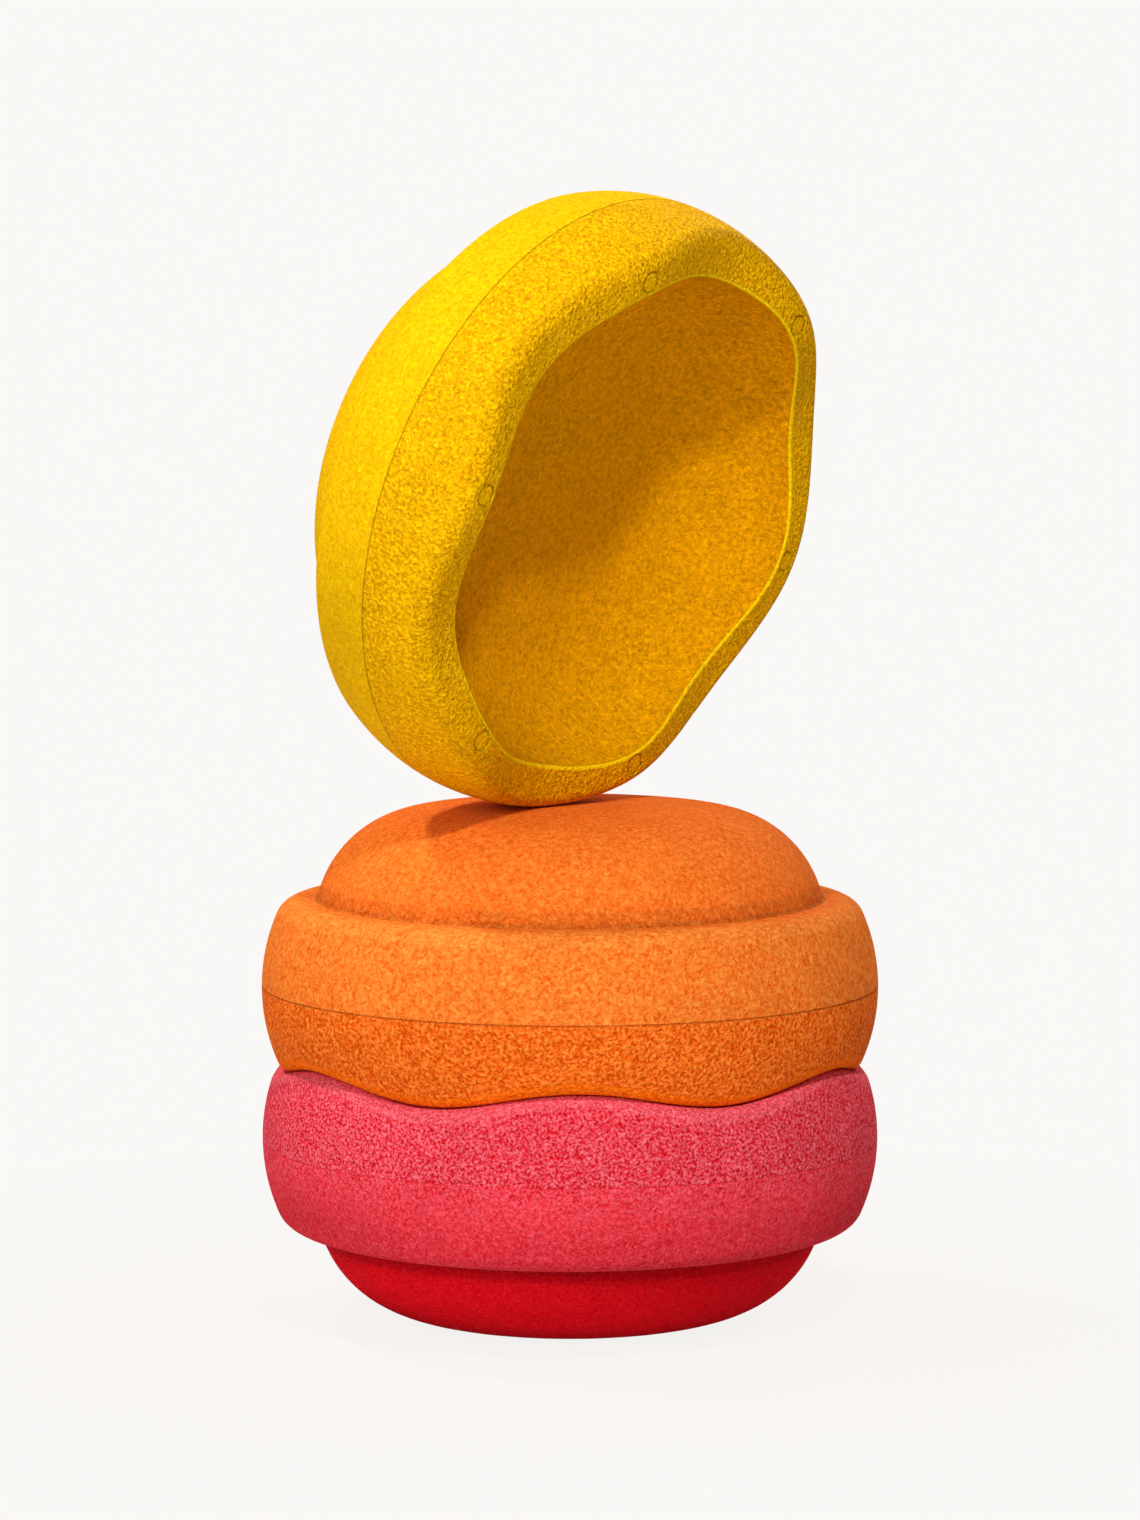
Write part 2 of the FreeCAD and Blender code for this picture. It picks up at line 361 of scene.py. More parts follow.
# %% Name the tree's inputs
STONE_INPUTS = (
    ("Rows", "NodeSocketInt", len(zones)),
    ("Columns", "NodeSocketInt", 432),
    ("Lobes", "NodeSocketInt", LOBES),
    ("Crowding", "NodeSocketFloat", 0.8),
    ("Mark Place", "NodeSocketFloat", 0.1198),
    ("Mark Radius", "NodeSocketFloat", 0.00455),
    ("Mark Line", "NodeSocketFloat", 0.0008),
    ("Mark Depth", "NodeSocketFloat", 0.0012),
    ("Unevenness", "NodeSocketFloat", 0.00012),
    ("Seed", "NodeSocketFloat", 0.0),
    ("Foam", "NodeSocketMaterial", None),
)


def stone_interface(tree):
    tree.interface.new_socket("Outline", in_out="INPUT", socket_type="NodeSocketGeometry")
    for name, kind, value in STONE_INPUTS:
        socket = tree.interface.new_socket(name, in_out="INPUT", socket_type=kind)
        if value is not None:
            socket.default_value = value
    tree.interface.new_socket("Stone", in_out="OUTPUT", socket_type="NodeSocketGeometry")
    return tree.nodes.new("NodeGroupInput").outputs, tree.nodes.new("NodeGroupOutput")


print("the stone tree has", len(STONE_INPUTS), "named inputs")


# %% Place the grid's points on the turned, wavy outline
def read_outline(tree, given, name, kind, row):
    """The value that the outline holds at a row, under an attribute's name or as its position."""
    if name == "position":
        source = tree.nodes.new("GeometryNodeInputPosition").outputs[0]
    else:
        source = add(tree, "GeometryNodeInputNamedAttribute", {"Name": name}, data_type=kind).outputs[0]
    sample = add(tree, "GeometryNodeSampleIndex", data_type=kind, domain="POINT")
    tree.links.new(given["Outline"], sample.inputs["Geometry"])
    tree.links.new(source, sample.inputs["Value"])
    tree.links.new(row, sample.inputs["Index"])
    return sample.outputs[0]


def crowded_turn(tree, given, column):
    """The angle of a column in lobes, with the columns close together at each lobe."""
    turn = calc(tree, "MULTIPLY", calc(tree, "DIVIDE", column, given["Columns"]), given["Lobes"])
    wave = calc(tree, "SINE", calc(tree, "MULTIPLY", turn, FULL_CIRCLE))
    shift = calc(tree, "DIVIDE", calc(tree, "MULTIPLY", wave, given["Crowding"]), FULL_CIRCLE)
    return calc(tree, "SUBTRACT", turn, shift)


def turned_point(tree, given, row, turn):
    """The mixed outline at a grid point, before and after it is turned about the axis."""
    wave = calc(tree, "COSINE", calc(tree, "MULTIPLY", turn, FULL_CIRCLE))
    share = calc(tree, "MULTIPLY_ADD", wave, -0.5, 0.5)
    lobe = read_outline(tree, given, "position", "FLOAT_VECTOR", row)
    valley = read_outline(tree, given, "valley", "FLOAT_VECTOR", row)
    mixed = add(tree, "ShaderNodeMix", {0: share, 4: lobe, 5: valley}, data_type="VECTOR").outputs[1]
    angle = calc(tree, "DIVIDE", calc(tree, "MULTIPLY", turn, FULL_CIRCLE), given["Lobes"])
    inputs = {"Vector": mixed, "Angle": angle, "Axis": (0, 0, 1)}
    turning = add(tree, "ShaderNodeVectorRotate", inputs, rotation_type="AXIS_ANGLE")
    return mixed, turning.outputs[0]


print("grid helpers ready")


# %% Cut the ring marks and add the unevenness
RING_SHARE = 0.6
RECESS_SHARE = 0.4
UNEVEN_SCALE = {"Scale": 95.0, "Detail": 1.0, "Roughness": 0.5}


def ring_depth(tree, given, mixed, turn, rim):
    """How deep a mark is cut at a point of the rim, and how far the point is in its ring and disc."""
    radius = add(tree, "ShaderNodeSeparateXYZ", {0: mixed}).outputs[0]
    beside = calc(tree, "SUBTRACT", turn, calc(tree, "ROUND", turn))
    angle = calc(tree, "DIVIDE", calc(tree, "MULTIPLY", beside, FULL_CIRCLE), given["Lobes"])
    across = calc(tree, "MULTIPLY", calc(tree, "SINE", angle), radius)
    reach = calc(tree, "MULTIPLY", calc(tree, "COSINE", angle), radius)
    out = calc(tree, "SUBTRACT", reach, given["Mark Place"])
    square = calc(tree, "ADD", calc(tree, "MULTIPLY", across, across), calc(tree, "MULTIPLY", out, out))
    distance = calc(tree, "SQRT", square)
    away = calc(tree, "ABSOLUTE", calc(tree, "SUBTRACT", distance, given["Mark Radius"]))
    line = calc(tree, "MULTIPLY", remap(tree, away, 0.0, given["Mark Line"], 1.0, 0.0), rim)
    inner = calc(tree, "SUBTRACT", given["Mark Radius"], given["Mark Line"])
    inside = calc(tree, "MULTIPLY", remap(tree, distance, inner, given["Mark Radius"], 1.0, 0.0), rim)
    share = calc(tree, "MULTIPLY_ADD", inside, RECESS_SHARE, calc(tree, "MULTIPLY", line, RING_SHARE))
    return calc(tree, "MULTIPLY", share, given["Mark Depth"]), line, inside


def unevenness(tree, given):
    """A shallow, broad noise, always inwards."""
    place = tree.nodes.new("GeometryNodeInputPosition").outputs[0]
    values = {**UNEVEN_SCALE, "Vector": place, "W": given["Seed"]}
    noise = add(tree, "ShaderNodeTexNoise", values, noise_dimensions="4D")
    depth = calc(tree, "MULTIPLY", noise.outputs[0], given["Unevenness"])
    normal = tree.nodes.new("GeometryNodeInputNormal").outputs[0]
    inward = calc(tree, "MULTIPLY", depth, -1.0)
    return add(tree, "ShaderNodeVectorMath", {0: normal, "Scale": inward}, operation="SCALE").outputs[0]


print("surface helpers ready")


# %% Build the stone tree
MERGE_DISTANCE = 2e-6


def store(tree, geometry, name, value):
    """Keeps a value on the points under a name, for the material to read."""
    inputs = {"Geometry": geometry, "Name": name, "Value": value}
    node = add(tree, "GeometryNodeStoreNamedAttribute", inputs, data_type="FLOAT", domain="POINT")
    return node.outputs[0]


def stone_tree():
    """The Geometry Nodes tree that turns an outline to a stone."""
    tree = bpy.data.node_groups.new("stone", "GeometryNodeTree")
    given, result = stone_interface(tree)
    columns = calc(tree, "ADD", given["Columns"], 1.0)
    grid = add(tree, "GeometryNodeMeshGrid", {"Vertices X": given["Rows"], "Vertices Y": columns})
    index = tree.nodes.new("GeometryNodeInputIndex").outputs[0]
    row = calc(tree, "FLOOR", calc(tree, "DIVIDE", calc(tree, "ADD", index, 0.5), columns))
    column = calc(tree, "SUBTRACT", index, calc(tree, "MULTIPLY", row, columns))
    turn = crowded_turn(tree, given, column)
    rim = read_outline(tree, given, "rim", "FLOAT", row)
    mixed, point = turned_point(tree, given, row, turn)
    depth, line, inside = ring_depth(tree, given, mixed, turn, rim)

    shape = grid.outputs["Mesh"]
    for name in ATTRIBUTES + tuple(FADES):
        shape = store(tree, shape, name, read_outline(tree, given, name, "FLOAT", row))
    shape = store(tree, shape, "mark", line)
    shape = store(tree, shape, "disc", inside)
    raised = add(tree, "ShaderNodeCombineXYZ", {2: depth}).outputs[0]
    cut = add(tree, "ShaderNodeVectorMath", {0: point, 1: raised}, operation="ADD").outputs[0]
    shape = add(tree, "GeometryNodeSetPosition", {"Geometry": shape, "Position": cut}).outputs[0]
    merging = {"Geometry": shape, "Distance": MERGE_DISTANCE}
    shape = add(tree, "GeometryNodeMergeByDistance", merging).outputs[0]
    shape = add(tree, "GeometryNodeFlipFaces", {"Mesh": shape}).outputs[0]
    moving = {"Geometry": shape, "Offset": unevenness(tree, given)}
    shape = add(tree, "GeometryNodeSetPosition", moving).outputs[0]
    shape = add(tree, "GeometryNodeSetShadeSmooth", {"Geometry": shape}).outputs[0]
    shape = add(tree, "GeometryNodeRealizeInstances", {"Geometry": shape}).outputs[0]
    dressing = {"Geometry": shape, "Material": given["Foam"]}
    shape = add(tree, "GeometryNodeSetMaterial", dressing).outputs[0]
    tree.links.new(shape, result.inputs[0])
    return tree


STONE_TREE = stone_tree()
print("the stone tree has", len(STONE_TREE.nodes), "nodes")

# %% [markdown]
# ## The foam
# Each stone is one colour right through. The mould gives it two skins: a coarse, wrinkled grain from the
# rim to the parting line, and a fine felt-like grain on the dome side and in the bowl. On the red stone
# the coarse grain fades out past the line. Both are far too fine for a mesh, so they are bump. Each is a
# noise, stretched until its tops and pits are cut off flat, which leaves short winding ridges between
# small pits. The same heights also tint the colour and the roughness: the pits get a painted shade and
# the ridges a paler painted sheen. More shade is painted into the bowl, onto its wall near the lip, into
# the ring marks and the parting groove (a paler painted line on the red stone), and at the dome's foot,
# and a painted highlight goes onto the lip, the rim's edge and the orange shoulder. On the red stone the
# pink of the side is a painted sheen, which its dome lacks. The tones and shares stand in one table with
# a block for each stone, so one recipe makes all three foams.

# %% Measure the grain, with scales in waves a metre
NOISES = {
    "coarse": {"Scale": 640.0, "Detail": 2.0, "Roughness": 0.55, "Distortion": 0.4},
    "fine": {"Scale": 700.0, "Detail": 3.0, "Roughness": 0.62, "Distortion": 0.9},
    "fleck": {"Scale": 420.0, "Detail": 3.0, "Roughness": 0.7, "Distortion": 0.6},
    "spot": {"Scale": 420.0, "Detail": 3.0, "Roughness": 0.75, "Distortion": 0.3},
    "blotch": {"Scale": 60.0, "Detail": 2.0, "Roughness": 0.5, "Distortion": 0.0},
}
GRAIN_SPAN = (0.24, 0.76)
FLECK_SPAN = (0.35, 0.7)
RIDGE_SPAN = (0.3, 0.8)
BLOTCH_SPAN = (0.3, 0.7)


def grain_noise(tree, place, kind, fineness=1.0):
    """One of the foam's noises, finer by a factor."""
    values = {**NOISES[kind], "Vector": place}
    values["Scale"] *= fineness
    return add(tree, "ShaderNodeTexNoise", values, noise_dimensions="3D").outputs[0]


def read(tree, name):
    """The value of an attribute of the surface."""
    return add(tree, "ShaderNodeAttribute", attribute_name=name).outputs["Fac"]


def mix_colour(tree, share, a, b):
    """Colour a, with a share of colour b over it."""
    return add(tree, "ShaderNodeMix", {0: share, 6: a, 7: b}, data_type="RGBA").outputs[2]


def mix_value(tree, share, a, b):
    """Value a at a share of 0, value b at a share of 1."""
    return add(tree, "ShaderNodeMix", {0: share, 2: a, 3: b}, data_type="FLOAT").outputs[0]


def stretch(tree, noise, low, high):
    """A noise spread to 0 at a low value and 1 at a high one, and cut off flat beyond them."""
    width = high - low
    return calc(tree, "MULTIPLY_ADD", noise, 1 / width, -low / width, clamp=True)


print("coarse grain of about", round(1000 / NOISES["coarse"]["Scale"], 1), "mm")


# %% Shape the two grains
COARSE_DEPTH = 0.0012
BOWL_GRAIN = 0.4
RIM_GRAIN = 0.5


def coarse_grain(tree, place, fineness):
    """Short winding ridges between small pits."""
    return stretch(tree, grain_noise(tree, place, "coarse", fineness), *GRAIN_SPAN)


def fine_grain(tree, place):
    """A soft felt of short streaks."""
    return stretch(tree, grain_noise(tree, place, "fine"), *GRAIN_SPAN)


def foam_height(tree, zones, coarse, fine, looks):
    """The grain's height in metres: coarse on the bead zones and most on the rim, fine elsewhere."""
    fine_depth = calc(tree, "MULTIPLY_ADD", zones["bowl"], BOWL_GRAIN, 1.0)
    fine_depth = calc(tree, "MULTIPLY", fine_depth, looks["fine_depth"])
    smoothing = calc(tree, "MULTIPLY_ADD", zones["painted_highlight"], -looks["smoothing"], 1.0)
    coarse_depth = calc(tree, "MULTIPLY_ADD", read(tree, "rim"), RIM_GRAIN * COARSE_DEPTH, COARSE_DEPTH)
    coarse_depth = calc(tree, "MULTIPLY", coarse_depth, smoothing)
    fine_relief = calc(tree, "MULTIPLY", fine, fine_depth)
    coarse_relief = calc(tree, "MULTIPLY", coarse, coarse_depth)
    return mix_value(tree, zones["bead"], fine_relief, coarse_relief)


print("fine grain of about", round(1000 / NOISES["fine"]["Scale"], 1), "mm")


# %% Colour the foam
# the bowl's tone is a painted shade, deeper than the foam outside
BOWL_COVER = 0.8


def foam_colour(tree, place, zones, relief, looks):
    """Painted shade in the pits, skin on top, flecks, a painted sheen on the ridges and a painted highlight
    on the shoulder, then the bowl's painted shade, the dome's tone and the lip's painted highlight.
    """
    # the deep tone in the pits is a painted shade
    colour = mix_colour(tree, relief, looks["deep"], looks["skin"])
    fleck = stretch(tree, grain_noise(tree, place, "fleck"), *FLECK_SPAN)
    smooth = calc(tree, "SUBTRACT", 1.0, zones["bead"])
    flecks = calc(tree, "MULTIPLY", calc(tree, "MULTIPLY", fleck, smooth), looks["flecks"])
    # the paler tone on the ridges is a painted sheen
    ridges = calc(tree, "MULTIPLY", stretch(tree, relief, *RIDGE_SPAN), looks["ridges"])
    ridges = calc(tree, "MULTIPLY", ridges, mix_value(tree, zones["bead"], looks["side_ridges"], 1.0))
    cover = calc(tree, "ADD", flecks, ridges, clamp=True)
    # a painted highlight along the shoulder
    cover = calc(tree, "MULTIPLY_ADD", read(tree, "shoulder"), looks["shoulder"], cover, clamp=True)
    colour = mix_colour(tree, cover, colour, looks["fleck_and_sheen"])
    # the red side's pink is a painted sheen; the dome's own tone, over most of the red dome, is the same
    # foam without it
    for zone, most in (("bowl", BOWL_COVER), ("dome", looks["dome_share"]), ("painted_highlight", looks["highlight_cover"])):
        colour = mix_colour(tree, calc(tree, "MULTIPLY", zones[zone], most), colour, looks[zone])
    return colour


print("colour helpers ready")

# %% Shade the foam
SPOT_DEPTH = 0.4
BOWL_SPOT_DEPTH = 0.9
# PIT_DEPTH and BEAD_PIT_DEPTH paint shade into the pits
PIT_DEPTH = 0.35
BEAD_PIT_DEPTH = 0.2
BLOTCH_SHADES = (0.97, 1.03)
# MARK_SHADE is a painted shade in the ring marks
MARK_SHADE = -0.45
# WALL_SHADE is that painted shade on the bowl's wall
WALL_SHADE = -0.24
SHADED_BY_STONE = ("crease", "low_dome", "groove")


def foam_shade(tree, place, zones, relief, looks):
    """Painted shade in the pits, spots of felt, broad patches, and a painted shade of their own in the
    marks, on the bowl's wall, at and above the dome's foot and in the groove, which on the red stone is a
    paler painted line.
    """
    spots = calc(tree, "SUBTRACT", grain_noise(tree, place, "spot"), 0.5)
    spot_depth = calc(tree, "MULTIPLY_ADD", zones["bowl"], BOWL_SPOT_DEPTH, SPOT_DEPTH)
    shade = calc(tree, "MULTIPLY_ADD", spots, spot_depth, 1.0)
    pit_depth = calc(tree, "MULTIPLY_ADD", zones["bead"], BEAD_PIT_DEPTH, PIT_DEPTH)
    pits = calc(tree, "MULTIPLY", calc(tree, "SUBTRACT", relief, 0.5), pit_depth)
    shade = calc(tree, "ADD", shade, pits)
    patches = remap(tree, grain_noise(tree, place, "blotch"), *BLOTCH_SPAN, *BLOTCH_SHADES)
    shade = calc(tree, "MULTIPLY", shade, patches)
    # painted shade in the ring marks
    shade = calc(tree, "MULTIPLY_ADD", read(tree, "mark"), MARK_SHADE, shade)
    # painted shade on the bowl's wall towards the lip
    shade = calc(tree, "MULTIPLY_ADD", read(tree, "wall"), WALL_SHADE, shade)
    # per stone: painted shade at and above the dome's foot, and the parting groove's painted line
    for name in SHADED_BY_STONE:
        shade = calc(tree, "MULTIPLY_ADD", read(tree, name), looks[name], shade)
    return shade


print("shade helpers ready")


# %% Read the zones of a stone
DISC_SMOOTHING = -0.4


def foam_zones(tree, looks):
    """How much of each zone a spot is in, as the skin's attributes say."""
    bowl, dome = read(tree, "bowl"), read(tree, "dome")
    bead = calc(tree, "MULTIPLY_ADD", read(tree, "seam"), looks["seam"], read(tree, "bead"))
    bead = calc(tree, "MULTIPLY_ADD", read(tree, "disc"), DISC_SMOOTHING, bead, clamp=True)
    # the lip, and by a share the rim's edge, get a painted highlight tone; the coarse grain there is also
    # smoothed
    painted_highlight = calc(tree, "MULTIPLY_ADD", read(tree, "edge"), looks["edge_highlight_cover"], read(tree, "lip"), clamp=True)
    return {"bowl": bowl, "dome": dome, "bead": bead, "painted_highlight": painted_highlight}


print("zones come from", len(ATTRIBUTES), "attributes and", len(FADES), "fades")


# %% Build the foam material
PIT_ROUGHNESS = 0.85
RIDGE_ROUGHNESS = 0.6


def foam(name, looks):
    """A bead foam in one colour, from its table of looks."""
    material = bpy.data.materials.new(name)
    material.use_nodes = True
    tree = material.node_tree
    tree.nodes.clear()
    place = tree.nodes.new("ShaderNodeTexCoord").outputs["Object"]
    zones = foam_zones(tree, looks)
    coarse = coarse_grain(tree, place, looks["fineness"])
    fine = fine_grain(tree, place)
    height = foam_height(tree, zones, coarse, fine, looks)
    bump = add(tree, "ShaderNodeBump", {"Height": height, "Strength": 1.0, "Distance": 1.0})

    relief = mix_value(tree, zones["bead"], fine, coarse)
    colour = foam_colour(tree, place, zones, relief, looks)
    shade = foam_shade(tree, place, zones, relief, looks)
    shaded = add(tree, "ShaderNodeVectorMath", {0: colour, "Scale": shade}, operation="SCALE").outputs[0]
    rough = remap(tree, relief, 0.0, 1.0, PIT_ROUGHNESS, RIDGE_ROUGHNESS)

    inputs = {"Base Color": shaded, "Roughness": rough, "Normal": bump.outputs[0]}
    surface = add(tree, "ShaderNodeBsdfPrincipled", inputs)
    surface.inputs["Specular IOR Level"].default_value = looks["gloss"]
    output = tree.nodes.new("ShaderNodeOutputMaterial")
    tree.links.new(surface.outputs[0], output.inputs["Surface"])
    return material


print("foam recipe ready")

# %% Give each stone its tones and shares
# skin, deep, fleck_and_sheen, painted_highlight, bowl and dome are tones, and dome_share says how far the
# dome's tone covers deep is a painted shade in the pits, and bowl a painted shade over the bowl;
# fleck_and_sheen is the tone of random flecks and of a painted sheen on the ridges; painted_highlight is a
# painted highlight on the lip and the rim's edge; on the red stone the skin and the ridges carry a painted
# pink sheen, and the dome's tone is the same foam without it crease, low_dome and groove make those places
# lighter or darker: a painted shade at and above the dome's foot, and a painted line in the parting groove,
# darker on orange and yellow and paler on red seam says how far the coarse grain goes on past the parting
# line, and fineness scales that grain ridges, side_ridges, flecks and shoulder say how much of
# fleck_and_sheen shows; on the shoulder it is a painted highlight highlight_cover says how far the painted
# highlight covers the lip, and edge_highlight_cover how much the rim's edge counts for it smoothing says
# how flat the coarse grain is on those highlighted spots, and fine_depth is the fine grain's height gloss
# is the surface's specular level
LOOKS = {
    "red": {
        "skin": (0.91, 0.020, 0.044, 1),
        "deep": (0.83, 0.004, 0.012, 1),
        "fleck_and_sheen": (0.92, 0.20, 0.265, 1),
        "painted_highlight": (0.93, 0.19, 0.24, 1),
        "bowl": (0.8, 0.006, 0.016, 1),
        "dome": (0.94, 0.003, 0.012, 1),
        "dome_share": 0.9,
        "crease": -0.6,
        "low_dome": -0.25,
        "seam": 0.75,
        "groove": 0.1,
        "fineness": 1.3,
        "ridges": 0.8,
        "side_ridges": 0.32,
        "flecks": 0.15,
        "shoulder": 0.0,
        "highlight_cover": 0.4,
        "edge_highlight_cover": 0.8,
        "smoothing": 0.6,
        "fine_depth": 0.0009,
        "gloss": 0.01,
    },
    "orange": {
        "skin": (0.97, 0.165, 0.008, 1),
        "deep": (0.86, 0.08, 0.001, 1),
        "fleck_and_sheen": (1.0, 0.40, 0.07, 1),
        "painted_highlight": (0.98, 0.17, 0.001, 1),
        "bowl": (0.9, 0.12, 0.003, 1),
        "dome": (1.0, 0.16, 0.010, 1),
        "dome_share": 0.25,
        "crease": -0.35,
        "low_dome": 0.0,
        "seam": 0.0,
        "groove": -0.35,
        "fineness": 1.0,
        "ridges": 0.4,
        "side_ridges": 0.4,
        "flecks": 0.65,
        "shoulder": 0.1,
        "highlight_cover": 0.8,
        "edge_highlight_cover": 0.8,
        "smoothing": 0.7,
        "fine_depth": 0.0006,
        "gloss": 0.01,
    },
    "yellow": {
        "skin": (0.94, 0.54, 0.002, 1),
        "deep": (0.85, 0.36, 0.001, 1),
        "fleck_and_sheen": (0.95, 0.63, 0.002, 1),
        "painted_highlight": (1.0, 0.72, 0.004, 1),
        "bowl": (0.92, 0.39, 0.001, 1),
        "dome": (0.95, 0.60, 0.002, 1),
        "dome_share": 0.0,
        "crease": -0.35,
        "low_dome": 0.0,
        "seam": 0.0,
        "groove": -0.4,
        "fineness": 1.0,
        "ridges": 0.25,
        "side_ridges": 0.6,
        "flecks": 0.8,
        "shoulder": 0.0,
        "highlight_cover": 0.8,
        "edge_highlight_cover": 0.0,
        "smoothing": 0.0,
        "fine_depth": 0.0005,
        "gloss": 0.01,
    },
}
FOAMS = {colour: foam(colour + "_bead_foam", looks) for colour, looks in LOOKS.items()}
print("foams:", [m.name for m in FOAMS.values()])

# %% [markdown]
# ## The three stones
# All three come from the same outline and tree. Each is turned the way it lies in the tower, and then
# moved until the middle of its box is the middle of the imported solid's box. So the place comes from the
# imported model, and a fault in the outline would show as a difference in size, which is printed.

# %% Say how each stone lies
HALF_STEP = 360 / LOBES / 2
ORANGE_TURN = 1.5
YELLOW_FACING = -37.1
YELLOW_TILT = 18.0
YELLOW_SPIN = -20.3


def rotation(degrees, axis):
    """A turn about one axis through the origin."""
    return Matrix.Rotation(math.radians(degrees), 4, axis)


LIES = {
    "red": rotation(ORANGE_TURN + HALF_STEP, "Z") @ rotation(180, "X"),
    "orange": rotation(ORANGE_TURN, "Z"),
    "yellow": rotation(YELLOW_FACING, "Z") @ rotation(YELLOW_TILT - 90, "Y") @ rotation(YELLOW_SPIN, "Z"),
}
print("the yellow stone faces", [round(x, 3) for x in LIES["yellow"].to_3x3() @ Vector((0, 0, -1))])


# %% Make a stone's skin
def mesh_box(mesh):
    """The lowest and the highest corner of a mesh."""
    points = np.empty(len(mesh.vertices) * 3, np.float32)
    mesh.vertices.foreach_get("co", points)
    points = points.reshape(-1, 3)
    return points.min(0).astype(float), points.max(0).astype(float)


def make_skin(colour, seed):
    """The stone in its own frame, as a plain mesh made by the tree."""
    source = bpy.data.objects.new(colour + "_outline", outline_mesh())
    bpy.context.scene.collection.objects.link(source)
    modifier = source.modifiers.new("stone", "NODES")
    modifier.node_group = STONE_TREE
    sockets = {s.name: s.identifier for s in STONE_TREE.interface.items_tree if s.in_out == "INPUT"}
    modifier[sockets["Seed"]] = seed
    modifier[sockets["Foam"]] = FOAMS[colour]
    graph = bpy.context.evaluated_depsgraph_get()
    mesh = bpy.data.meshes.new_from_object(source.evaluated_get(graph), depsgraph=graph)
    bpy.data.objects.remove(source)
    return mesh


def set_stone(colour, seed):
    """The finished stone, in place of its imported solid."""
    node = colour + "_stone"
    mesh = make_skin(colour, seed)
    mesh.name = colour + "_skin"
    mesh.transform(LIES[colour])
    low, high = mesh_box(mesh)
    cad_lowest, cad_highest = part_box(node)
    middle = (np.array(cad_lowest) + np.array(cad_highest)) / 2
    mesh.transform(Matrix.Translation(Vector(middle - (low + high) / 2)))
    stone = bpy.data.objects.new(colour + "_skin", mesh)
    bpy.context.scene.collection.objects.link(stone)
    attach(stone, colour)
    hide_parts(node)
    short = (np.array(cad_highest - cad_lowest) - (high - low)) * 1000
    print(stone.name, len(mesh.polygons), "faces, smaller than its solid by", short.round(2), "mm")
    return stone


SEEDS = {"red": 1.0, "orange": 2.0, "yellow": 3.0}
STONES = [set_stone(colour, seed) for colour, seed in SEEDS.items()]
print(len(STONES), "stones stand in for their solids")

# %% [markdown]
# ## Floor, backdrop and light
# The tower stands on plain pale paper. What the camera sees of the paper and of the sky behind it is one
# even pale tone, and only round the foot does the floor take part of the real light, so that it keeps a
# soft shadow. Four soft lamps do the work: one high on the left, which throws the yellow stone's shade
# onto the orange dome, one in front, whose light ends in the bowl along a soft edge, a low broad one, which
# fills the bowl and the dome below the red ledge, and one behind, on the right, for the sides that the
# photograph doesn't show. The sky adds a faint warm light from all round.

# %% Mix the paper for the floor
PAPER = (0.956, 0.939, 0.922, 1)
SHADOWED_PAPER = (0.72, 0.71, 0.7, 1)
BOUNCE_TONE = (0.65, 0.64, 0.63, 1)
FLOOR_DROP = 0.0003
FLOOR_SIZE = 6.0
SHADOW_SHARE = 0.07
SHADOW_NEAR = 0.12
SHADOW_FAR = 0.5


def seen_directly(tree):
    """1 for rays that show the paper: from the camera, a reflection or through glass."""
    path = tree.nodes.new("ShaderNodeLightPath").outputs
    seen = calc(tree, "MAXIMUM", path["Is Camera Ray"], path["Is Glossy Ray"])
    return calc(tree, "MAXIMUM", seen, path["Is Transmission Ray"])


def floor_material():
    """Even paper to the camera, a trace of real light near the tower, and a plain floor to all else."""
    material = bpy.data.materials.new("paper")
    material.use_nodes = True
    tree = material.node_tree
    tree.nodes.clear()
    place = tree.nodes.new("ShaderNodeTexCoord").outputs["Object"]
    away = add(tree, "ShaderNodeVectorMath", {0: place}, operation="LENGTH").outputs["Value"]
    share = remap(tree, away, SHADOW_NEAR, SHADOW_FAR, SHADOW_SHARE, 0.0)
    plain = add(tree, "ShaderNodeEmission", {"Color": PAPER, "Strength": 1.0}).outputs[0]
    lit = add(tree, "ShaderNodeBsdfDiffuse", {"Color": SHADOWED_PAPER}).outputs[0]
    shown = add(tree, "ShaderNodeMixShader", {0: share, 1: plain, 2: lit}).outputs[0]
    bounce = add(tree, "ShaderNodeBsdfDiffuse", {"Color": BOUNCE_TONE}).outputs[0]
    both = add(tree, "ShaderNodeMixShader", {0: seen_directly(tree), 1: bounce, 2: shown}).outputs[0]
    output = tree.nodes.new("ShaderNodeOutputMaterial")
    tree.links.new(both, output.inputs["Surface"])
    return material


print("floor", FLOOR_SIZE, "m wide, shadow share", SHADOW_SHARE)

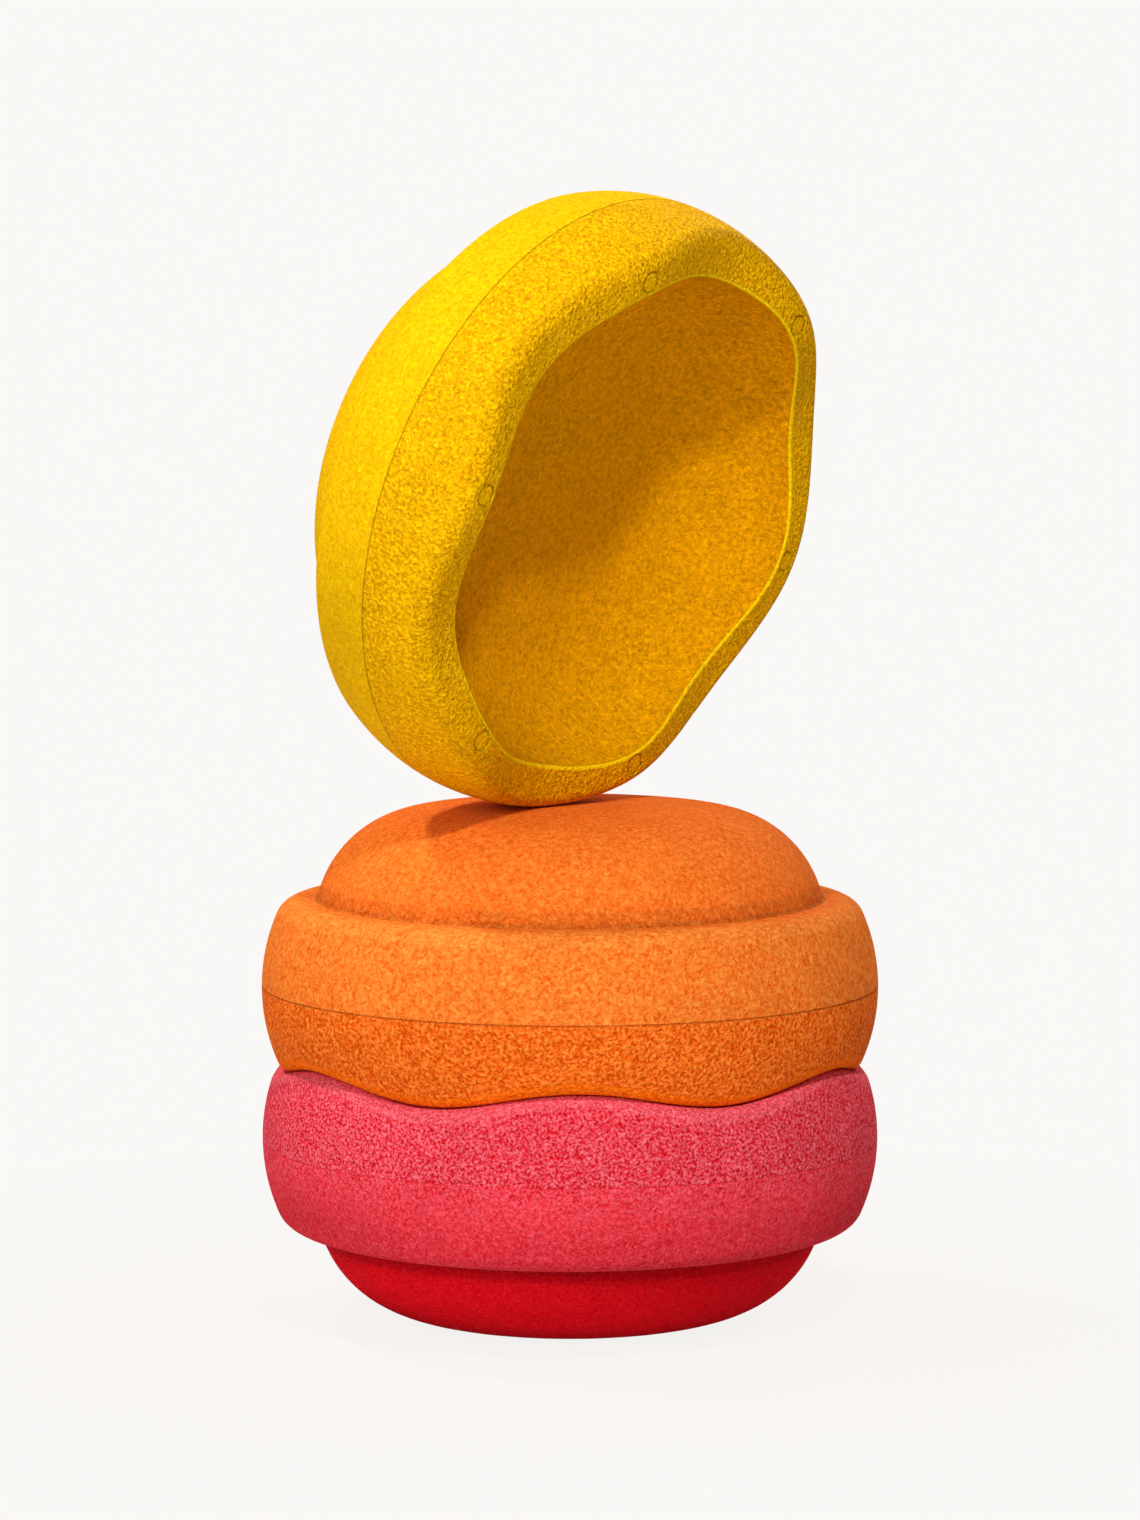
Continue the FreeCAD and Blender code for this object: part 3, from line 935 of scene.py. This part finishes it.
# %% Lay the floor
half = FLOOR_SIZE / 2
floor_mesh = bpy.data.meshes.new("floor")
corners = [(-half, -half), (half, -half), (half, half), (-half, half)]
floor_mesh.from_pydata([(x, y, -FLOOR_DROP) for x, y in corners], [], [(0, 1, 2, 3)])
floor_mesh.materials.append(floor_material())
floor = bpy.data.objects.new("floor", floor_mesh)
bpy.context.scene.collection.objects.link(floor)
print("floor laid", 1000 * FLOOR_DROP, "mm below the tower")

# %% Set the sky
SKY_STRENGTH = 0.18
SKY_TONE = (1.0, 0.7, 0.52, 1)

world = bpy.data.worlds.new("studio")
world.use_nodes = True
bpy.context.scene.world = world
sky = world.node_tree
sky.nodes.clear()
shown_sky = add(sky, "ShaderNodeBackground", {"Color": PAPER, "Strength": 1.0}).outputs[0]
light_sky = add(sky, "ShaderNodeBackground", {"Color": SKY_TONE, "Strength": SKY_STRENGTH}).outputs[0]
sky_mix = add(sky, "ShaderNodeMixShader", {0: seen_directly(sky), 1: light_sky, 2: shown_sky}).outputs[0]
sky.links.new(sky_mix, sky.nodes.new("ShaderNodeOutputWorld").inputs["Surface"])
print("sky strength", SKY_STRENGTH)

# %% Hang the four lamps
LAMP_AIM = Vector((0, 0, 0.25))
LAMP_DISTANCE = 2.2


def softbox(name, azimuth, elevation, size, power):
    """A square lamp in a direction from the tower, facing it."""
    a, e = math.radians(azimuth), math.radians(elevation)
    away = Vector((math.cos(a) * math.cos(e), math.sin(a) * math.cos(e), math.sin(e)))
    lamp = bpy.data.lights.new(name, "AREA")
    lamp.shape = "SQUARE"
    lamp.size = size
    lamp.energy = power
    holder = bpy.data.objects.new(name, lamp)
    holder.location = LAMP_AIM + away * LAMP_DISTANCE
    holder.rotation_euler = away.to_track_quat("Z", "Y").to_euler()
    bpy.context.scene.collection.objects.link(holder)


softbox("left_lamp", azimuth=160, elevation=56, size=0.14, power=27.5)
softbox("front_lamp", azimuth=-79, elevation=45, size=0.12, power=25)
softbox("low_lamp", azimuth=-110, elevation=18, size=0.6, power=21)
softbox("back_lamp", azimuth=62, elevation=28, size=0.8, power=17)
print("four lamps hang", LAMP_DISTANCE, "m from the tower")
